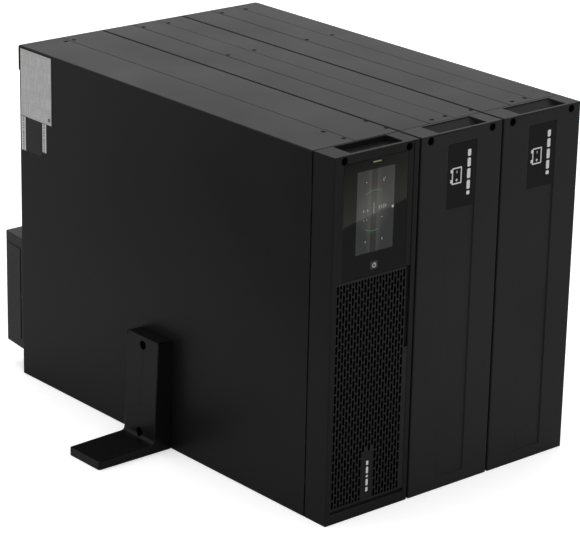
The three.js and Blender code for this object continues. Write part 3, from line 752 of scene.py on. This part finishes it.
def display():
    """The picture area, and the small plain marks on it."""
    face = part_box("ups_display_window")[0].y
    glass = 0.12
    at = Vector((UPS.x, face, UPS.z))
    outline = rounded(SCREEN["left"], SCREEN["right"], SCREEN["bottom"], SCREEN["top"], 0.5)
    drawn("ups_display_picture", [outline], glass, "front", at, ROOT, "screen", 0.03)
    front = Vector((UPS.x, face - glass * MM, UPS.z))
    x, z, radius, half = SCREEN["lane"], SCREEN["ring"], 23.5, 0.2
    sweeps = [(58, 122), (238, 288)]
    bands = [arc(x, z, radius + half, a, b, 16) + arc(x, z, radius - half, b, a, 16) for a, b in sweeps]
    drawn("ups_display_arcs", bands, INK, "front", front, ROOT, "mark_green")
    ticks = [
        (45.3, 369.0, 3.4), (51.2, 368.6, 3.4), (68.5, 369.8, 4.4), (71.8, 369.8, 4.0), (75.1, 369.8, 4.6),
        (77.9, 369.8, 3.6), (73.8, 332.2, 3.2), (73.9, 400.5, 3.8), (48.8, 332.6, 2.4),
    ]
    dots = [(48.4, 401.6), (45.7, 358.0), (50.2, 358.3), (72.6, 357.8), (75.9, 402.6)]
    marks = [rounded(x0 - 0.38, x0 + 0.38, z0 - tall / 2, z0 + tall / 2, 0.4) for x0, z0, tall in ticks]
    marks += [rounded(x - 0.5, x + 0.5, z0, z0 + 1.5, 0.4) for z0 in (364.4, 366.9, 369.4, 371.9, 374.4)]
    marks += [circle(x0, z0, 0.6, 10) for x0, z0 in dots]
    marks += [rounded(87.0, 90.0, 365.4, 368.4, 0.4)]
    drawn("ups_display_marks", marks, INK, "front", front, ROOT, "mark_lit")


# ------------------------------------------------------------------------------------ battery fronts
def battery_marks(name):
    """A battery outline with its poles, and a column of plain bars beside it."""
    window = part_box(f"{name}_mark_window")
    module = BATTERY[name]
    at = Vector((module.x, window[0].y, module.z))
    body = BODY_OF[f"{name}_mark_window"]
    left, right, bottom, top = 49.9, 65.0, 373.9, 393.6
    stroke = 1.5
    case = rounded(left, right, bottom, top, 1.0)
    inside = rounded(left + stroke, right - stroke, bottom + stroke, top - stroke, 0.4)
    poles = [rounded(left - 2.4, left - 0.05, z - 2.0, z + 2.0, 0.6) for z in (bottom + 4.3, top - 3.4)]
    x = (left + right) / 2
    plus = cross(x, bottom + 4.8, 1.7, 0.5)
    minus = rounded(x - 0.5, x + 0.5, top - 6.8, top - 4.0, 0.4)
    loops = [case, inside, *poles, plus, minus]
    loops += bars(73.6, 78.6, 358.0, 412.0, (4, 9, 10, 9, 7), 2.2, 1.4)
    drawn(f"{name}_marks", loops, INK, "front", at, body, "mark_white")


# ------------------------------------------------------------------------------------ screws
SCREW = {"radius": 3.0, "height": 0.55, "bevel": 0.16, "reach": 1.9, "half": 0.5}


def cross_heads(name, places, facing, at, body):
    """Low steel screw heads with cross recesses, at places drawn on one face."""
    loops = []
    for x, y in places:
        loops += [circle(x, y, SCREW["radius"]), cross(x, y, SCREW["reach"], SCREW["half"])]
    drawn(name, loops, SCREW["height"], facing, at, body, "screw_steel", SCREW["bevel"])


TOP_SCREWS = {
    "ups_left_cover": [(57.5, 85.0), (58.8, 52.0), (57.5, 575.0)],
    "ups_chassis_tray": [(124.0, 88.0), (124.0, 54.0), (70.0, 575.0)],
    "chassis": [(60.0, 47.5), (82.0, 49.0), (51.8, 405.0), (51.8, 576.0)],
    "right_cover": [(123.5, 49.5), (93.0, 404.0), (90.5, 574.0)],
}
DIMPLE = {"radius": 2.9, "depth": 0.9, "head": 0.55}


def module_of(node):
    """The corner of the module that a node belongs to, if it belongs to one."""
    name = node.split("_")[0]
    return UPS if name == "ups" else BATTERY.get(name)


def top_screw_places(node):
    if not module_of(node):
        return []
    return TOP_SCREWS.get(node) or TOP_SCREWS.get(node.split("_", 1)[1], [])


def top_screws():
    """Small black heads sunk in dimples along the tops."""
    for node in NODES:
        places = top_screw_places(node)
        if places:
            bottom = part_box(node)[1].z - (DIMPLE["depth"] - 0.02) * MM
            module = module_of(node)
            loops = []
            for x, y in places:
                loops += [circle(x, y, DIMPLE["radius"] - 0.25, 20), cross(x, y, 1.3, 0.35)]
            at = Vector((module.x, module.y, bottom))
            drawn(f"{node}_top_screws", loops, DIMPLE["head"], "top", at, ROOT, "screw_black", 0.12)


# The liner is painted shade: a dark tube on the wall of each bezel hole.
HOLE = {
    "places": [(15.0, 431.8), (111.0, 431.8)],
    "shade_liner": 4.75,
    "bore": 4.35,
    "mouth": 0.4,  # how far the liner's front edge lies behind the bezel's face
    "screw": 7.0,  # and the screw's head
    "head": 3.0,
}


def front_screws():
    """In each bezel hole a dark liner that is painted shade on the hole's wall, and a socket-head screw well
    down it.
    """
    owners = [("ups", UPS, ROOT)]
    owners += [(name, BATTERY[name], BODY_OF[f"{name}_front_bezel"]) for name in BATTERY_MODULES]
    back = HOLE["screw"] + HOLE["head"]
    for name, module, body in owners:
        heads, shade_liners = [], []
        for x, z in HOLE["places"]:
            heads += [circle(x, z, 3.9), hexagon(x, z, 1.9)]
            shade_liners += [circle(x, z, HOLE["shade_liner"], 32), circle(x, z, HOLE["bore"], 32)]
        at = spot(module, 0, back, 0)
        drawn(f"{name}_front_screws", heads, HOLE["head"], "front", at, body, "screw_black", 0.35)
        # The liners paint shade on the holes' walls.
        drawn(f"{name}_hole_shade_liners", shade_liners, back - HOLE["mouth"], "front", at, body, "screw_black", 0.05)


# ------------------------------------------------------------------------------------ left side labels
def side_labels():
    """Two printed strips and a plain dark sticker between them, and the rating plate's eyelet."""
    cover = Vector((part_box("ups_left_cover")[0].x - 0.02 * MM, UPS.y, UPS.z))

    def strip(name, y0, y1, z0, z1, look):
        drawn(name, [rounded(-y1, -y0, z0, z1, 0.8)], 0.16, "left", cover, ROOT, look, 0.03)

    strip("ups_serial_strip_rear", 582.2, 591.0, 304.0, 348.2, "label_white")
    strip("ups_serial_strip_front", 538.0, 546.0, 311.0, 348.4, "label_white")
    strip("ups_dark_sticker", 547.0, 581.4, 304.5, 348.2, "label_black")
    at = Vector((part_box("ups_rating_plate")[0].x, UPS.y, UPS.z))
    rivet = [circle(-530.5, 355.5, 2.3, 20), circle(-530.5, 355.5, 1.0, 12)]
    drawn("ups_rating_plate_eyelet", rivet, 0.3, "left", at, ROOT, "screw_steel", 0.08)


# ------------------------------------------------------------------------------------ terminal box
def terminal_box_panel():
    """A slightly raised panel on the box's leaning left side, and the screw at its front edge."""
    taper, depth = 5.5, 46.5
    lean = Matrix.Rotation(math.atan2(taper, depth), 4, "Z").inverted()
    start = spot(UPS, 1.5, 594.5, 0)
    panel = [rounded(-42.0, -7.0, 44.0, 168.0, 2.0)]
    body = BODY_OF["ups_terminal_box"]
    drawn("ups_terminal_box_panel", panel, 0.7, "left", start, body, "steel_paint", 0.25, lean)
    screw = [circle(-3.2, 105.0, 1.8, 16), cross(-3.2, 105.0, 1.1, 0.3)]
    drawn("ups_terminal_box_screw", screw, 0.6, "left", start, body, "screw_steel", 0.12, lean)


# ------------------------------------------------------------------------------------ rear
def fan_guard(place):
    """Wire rings on four arms in front of a fan."""
    low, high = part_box(f"ups_fan_frame_{place}")
    centre = (low + high) / 2
    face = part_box("ups_rear_panel")[1].y
    y = face + 1.3 * MM
    wire = 0.8

    def ring(radius):
        angles = [2 * math.pi * i / 40 for i in range(40)]
        reach = radius * MM
        return [(centre.x + reach * math.cos(a), y, centre.z + reach * math.sin(a)) for a in angles]

    rings = [ring(radius) for radius in (9, 16, 23, 30, 36.5)]
    tube(f"ups_fan_guard_{place}", rings, wire, ROOT, "bright_metal", closed=True)
    arms, tips, reach = [], [], 50.0
    for step in range(4):
        angle = math.radians(45 + 90 * step)
        c, s = math.cos(angle), math.sin(angle)
        along = [(centre.x + r * MM * c, y + 1.5 * MM, centre.z + r * MM * s) for r in (8.0, reach)]
        arms.append(along)
        tips.append((-(centre.x - UPS.x) / MM - reach * c, (centre.z - UPS.z) / MM + reach * s))
    tube(f"ups_fan_guard_arms_{place}", arms, wire * 1.2, ROOT, "bright_metal")
    at = Vector((UPS.x, face + 2.2 * MM, UPS.z))
    cross_heads(f"ups_fan_screws_{place}", tips, "rear", at, ROOT)


def port_contacts():
    """Pins in the serial socket, springs in the data socket."""
    sunk = Vector((0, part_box("ups_port_plate")[1].y - 6.5 * MM - UPS.y, 0))
    pins = []
    for count, z in ((5, 391.2), (4, 387.8)):
        for i in range(count):
            x = 80.0 + (i - (count - 1) / 2) * 2.8
            base = spot(UPS, x, 0, z) + sunk
            pins.append([tuple(base), tuple(base + Vector((0, 4.5, 0)) * MM)])
    tube("ups_serial_pins", pins, 0.5, ROOT, "bright_metal")
    springs = []
    for i in range(8):
        x = 104.0 + (i - 3.5) * 1.05
        base = spot(UPS, x, 0, 392.6) + sunk
        springs.append([tuple(base), tuple(base + Vector((0, 4.5, -2.6)) * MM)])
    tube("ups_data_springs", springs, 0.22, ROOT, "bright_metal")


def socket_contacts(name, node, across):
    """Two flat blades in a link socket, side by side or one above the other."""
    low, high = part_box(node)
    centre = (low + high) / 2
    if across == "x":
        blades = [rounded(x - 1.2, x + 1.2, -3.6, 3.6, 0.6) for x in (-6.0, 6.0)]
    else:
        blades = [rounded(-5.5, 5.5, z - 1.4, z + 1.4, 0.6) for z in (-10.0, 10.0)]
    at = Vector((centre.x, high.y - 16.0 * MM, centre.z))
    drawn(name, blades, 12.0, "rear", at, ROOT, "bright_metal", 0.3)


MODULE_PITCH = 128.5


def rear_details():
    """Screws of the rear panels, the labels, the link sockets' contacts and the joining plates' screws."""
    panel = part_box("ups_rear_panel")[1].y
    at = Vector((UPS.x, panel, UPS.z))
    heads = [(-6.0, 190.0), (-121.0, 190.0), (-6.0, 345.0), (-121.0, 345.0), (-121.0, 60.0), (-121.0, 120.0)]
    cross_heads("ups_rear_screws", heads, "rear", at, ROOT)
    heads = [(x, z) for z in (45.0, 250.0, 395.0) for x in (-8.0, -119.0)]
    for name in BATTERY_MODULES:
        module = BATTERY[name]
        there = Vector((module.x, panel, module.z))
        cross_heads(f"{name}_rear_screws", heads, "rear", there, ROOT)
        label = [rounded(-104.0, -64.0, 262.0, 300.0, 1.0)]
        drawn(f"{name}_rear_label", label, 0.15, "rear", there, ROOT, "label_foil", 0.03)
        socket_contacts(f"{name}_link_contacts", f"{name}_socket", "z")
    socket_contacts("ups_link_contacts", "ups_battery_socket", "x")
    low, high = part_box("joining_plate_upper")
    at = Vector((low.x, high.y, UPS.z))
    for place, z, offsets in (("upper", 421.0, (18.0, 63.0, 108.0)), ("lower", 16.0, (28.0, 100.0))):
        spread = [(-offset - MODULE_PITCH * i, z) for i in range(3) for offset in offsets]
        cross_heads(f"joining_screws_{place}", spread, "rear", at, ROOT)


def thumbscrews():
    """Knurled collars round the two slot cover screws."""
    low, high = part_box("ups_slot_cover")
    middle = -((low.x + high.x) / 2 - UPS.x) / MM
    loops, teeth = [], 24
    for z in (low.z + 6 * MM, high.z - 6 * MM):
        height = (z - UPS.z) / MM
        rim = []
        for i in range(teeth * 2):
            radius = 4.9 if i % 2 else 4.4
            angle = math.pi * i / teeth
            rim.append((middle + radius * math.cos(angle), height + radius * math.sin(angle)))
        loops += [rim, circle(middle, height, 2.2, 16)]
    at = Vector((UPS.x, high.y - 4.0 * MM, UPS.z))
    drawn("ups_slot_thumbscrews", loops, 4.6, "rear", at, ROOT, "bright_metal", 0.2)


# ------------------------------------------------------------------------------------ batteries
CELL = {"length": 151.0, "width": 64.0, "height": 100.0, "gap": 0.8, "lid": 8.0}


def cell_mesh():
    """One sealed battery lying on its side, its lid towards -X, from its low corner."""
    build = bmesh.new()

    def box(x0, x1, y0, y1, z0, z1):
        size = Vector((x1 - x0, y1 - y0, z1 - z0)) * MM
        centre = Vector((x0 + x1, y0 + y1, z0 + z1)) / 2 * MM
        place = Matrix.Translation(centre) @ Matrix.Diagonal((*size, 1))
        bmesh.ops.create_cube(build, size=1, matrix=place)

    length, width, height, lid = CELL["length"], CELL["width"], CELL["height"], CELL["lid"]
    proud = 6.0  # the lid and posts stand at the low-x side
    box(proud + lid + 0.6, height, 0.6, length - 0.6, 0.6, width - 0.6)
    box(proud, proud + lid, 0, length, 0, width)
    box(proud + lid - 0.2, proud + lid + 0.8, 1.4, length - 1.4, 1.4, width - 1.4)
    for y in (14.0, length - 14.0):
        box(2.0, proud + 0.2, y - 7.0, y + 7.0, width / 2 - 8.0, width / 2 + 8.0)
    for i in range(6):
        y = 34.0 + i * (length - 68.0) / 5
        place = Matrix.Translation(Vector((proud - 0.3, y, width / 2)) * MM)
        disc(build, 4 * MM, 0.9 * MM, 16, place @ Matrix.Rotation(math.pi / 2, 4, "Y"))
    mesh = bpy.data.meshes.new("battery_cell")
    build.to_mesh(mesh)
    build.free()
    return mesh


def tab_mesh():
    """The two blade terminals of a battery."""
    build = bmesh.new()
    for y in (14.0, CELL["length"] - 14.0):
        place = Matrix.Translation(Vector((1.2, y, CELL["width"] / 2)) * MM)
        blade = Matrix.Diagonal((2.4 * MM, 6.3 * MM, 0.8 * MM, 1))
        bmesh.ops.create_cube(build, size=1, matrix=place @ blade)
    mesh = bpy.data.meshes.new("battery_tabs")
    build.to_mesh(mesh)
    build.free()
    return mesh


def battery_string(module, place, cell, tabs):
    """Nine batteries in a tray, three deep and three high, in place of the CAD block."""
    node = f"{module}_cells_{place}"
    body = BODY_OF[node]
    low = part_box(node)[0]
    step_y, step_z = (CELL["length"] + CELL["gap"]) * MM, (CELL["width"] + CELL["gap"]) * MM
    for index in range(9):
        row, column = divmod(index, 3)
        at = low + Vector((0, column * step_y, row * step_z))
        name = f"{node}_{row + 1}{column + 1}"
        piece = bpy.data.objects.new(name, cell)
        piece.location = at
        round_edges(piece, 1.0)
        show(piece, body, "battery_case")
        finish_shading(piece)
        blades = bpy.data.objects.new(f"{name}_tabs", tabs)
        blades.location = at
        show(blades, body, "bright_metal")
        if index == 0:
            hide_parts(node)


# ------------------------------------------------------------------------------------ stage
def stage():
    """A pale floor, and white studio light that is brighter from the sides than from above."""
    bpy.ops.mesh.primitive_plane_add(size=40.0, location=(0, 0, CAD_BOX[0][2] - 0.0002))
    floor = bpy.context.object
    floor.name = "studio_floor"
    floor.data.materials.append(pale_floor())
    floor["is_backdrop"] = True

    world = bpy.data.worlds.new("studio")
    bpy.context.scene.world = world
    world.use_nodes = True
    nodes, links = world.node_tree.nodes, world.node_tree.links
    up = nodes.new("ShaderNodeTexCoord").outputs["Generated"]
    height = nodes.new("ShaderNodeSeparateXYZ")
    links.new(up, height.inputs[0])
    ramp = nodes.new("ShaderNodeMapRange")
    ramp.inputs["From Max"].default_value = 0.7
    ramp.inputs["To Min"].default_value = 1.36
    ramp.inputs["To Max"].default_value = 0.85
    links.new(height.outputs["Z"], ramp.inputs["Value"])
    links.new(ramp.outputs["Result"], nodes["Background"].inputs["Strength"])
    nodes["Background"].inputs["Color"].default_value = (1, 1, 1, 1)


def overhead_light():
    light = bpy.data.lights.new("overhead", "AREA")
    light.shape = "RECTANGLE"
    light.size = light.size_y = 3.0
    light.energy = 60
    lamp = bpy.data.objects.new("overhead", light)
    lamp.location = (0.3, 0.6, 4.0)
    lamp.rotation_euler = (-lamp.location).to_track_quat("-Z", "Y").to_euler()
    bpy.context.scene.collection.objects.link(lamp)


# The near edge of the bright card is the line y + slope * x = edge; its light fades beyond that.
CARD = {"slope": 0.294, "edge": -0.917, "fade": 0.24, "bright": 2.3, "dim": 0.1}


def floor_card(name, places, material):
    """A card just above the floor that only reflections see."""
    mesh = bpy.data.meshes.new(name)
    mesh.from_pydata([(x, y, 0.02) for x, y in places], [], [list(range(len(places)))])
    mesh.materials.append(material)
    card = bpy.data.objects.new(name, mesh)
    card.visible_camera = card.visible_diffuse = card.visible_shadow = False
    bpy.context.scene.collection.objects.link(card)
    card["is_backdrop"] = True


def lights():
    """One large soft light overhead, and two cards that only reflections see."""
    overhead_light()
    # A bright card on the floor, out of view in front of the set: the display window mirrors its edge.
    places = [(0.10, -0.946), (0.695, -1.121), (0.88, -1.31), (0.88, -2.6), (-0.6, -2.6)]
    glow = Shader("mirror_card")
    split = glow.add("ShaderNodeSeparateXYZ", {"Vector": glow.place}).outputs
    slant = glow.math("MULTIPLY", split["X"], CARD["slope"])
    beyond = glow.math("SUBTRACT", CARD["edge"], glow.math("ADD", split["Y"], slant))
    glow.set(Emission_Color=grey(1.0, (1.0, 0.98, 0.91)), Base_Color=grey(0.0))
    glow.set(Emission_Strength=glow.span(beyond, 0.0, CARD["fade"], CARD["bright"], CARD["dim"]))
    floor_card("mirror_card", places, glow.material)
    # A black card on the floor to the left, seen only in reflections: it deepens the left faces.
    shade = Shader("shade_card")
    shade.set(Base_Color=grey(0.0), Roughness=shade.span(shade.noise(5.0), 0.0, 1.0, 0.9, 1.0))
    shade.level("Specular IOR Level", 0.0)
    floor_card("shade_card", [(-0.62, 0.75), (-1.9, 1.3), (-2.0, -0.9), (-0.62, -0.9)], shade.material)


def camera():
    """A long lens from the front left, a little above the set, rolled by just over a degree."""
    position = Vector((-1.9941, -2.3431, 1.2707))
    forward = Vector((0.615183, 0.714262, -0.333736))
    across = Vector((0.762320, -0.646866, 0.020778))
    up = across.cross(forward)
    data = bpy.data.cameras.new("camera")
    data.sensor_width = 36.0
    data.lens = 162.81
    eye = bpy.data.objects.new("camera", data)
    turn = Matrix((across, up, -forward)).transposed()
    eye.matrix_world = Matrix.Translation(position) @ turn.to_4x4()
    bpy.context.scene.collection.objects.link(eye)
    bpy.context.scene.camera = eye


bpy.context.scene.view_settings.view_transform = "Standard"
camera()
lights()
stage()

carry_over()
fine_grille()
badge_mark()
power_icon()
display()
for module in BATTERY_MODULES:
    battery_marks(module)
top_screws()
front_screws()
side_labels()
terminal_box_panel()
for place in ("lower", "upper"):
    fan_guard(place)
port_contacts()
rear_details()
thumbscrews()

cell, tabs = cell_mesh(), tab_mesh()
for module in BATTERY_MODULES:
    for place in ("lower", "upper"):
        battery_string(module, place, cell, tabs)

boxes = {"cad": CAD_BOX, "visual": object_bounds()}
sizes = {name: [list(map(float, end)) for end in box] for name, box in boxes.items()}
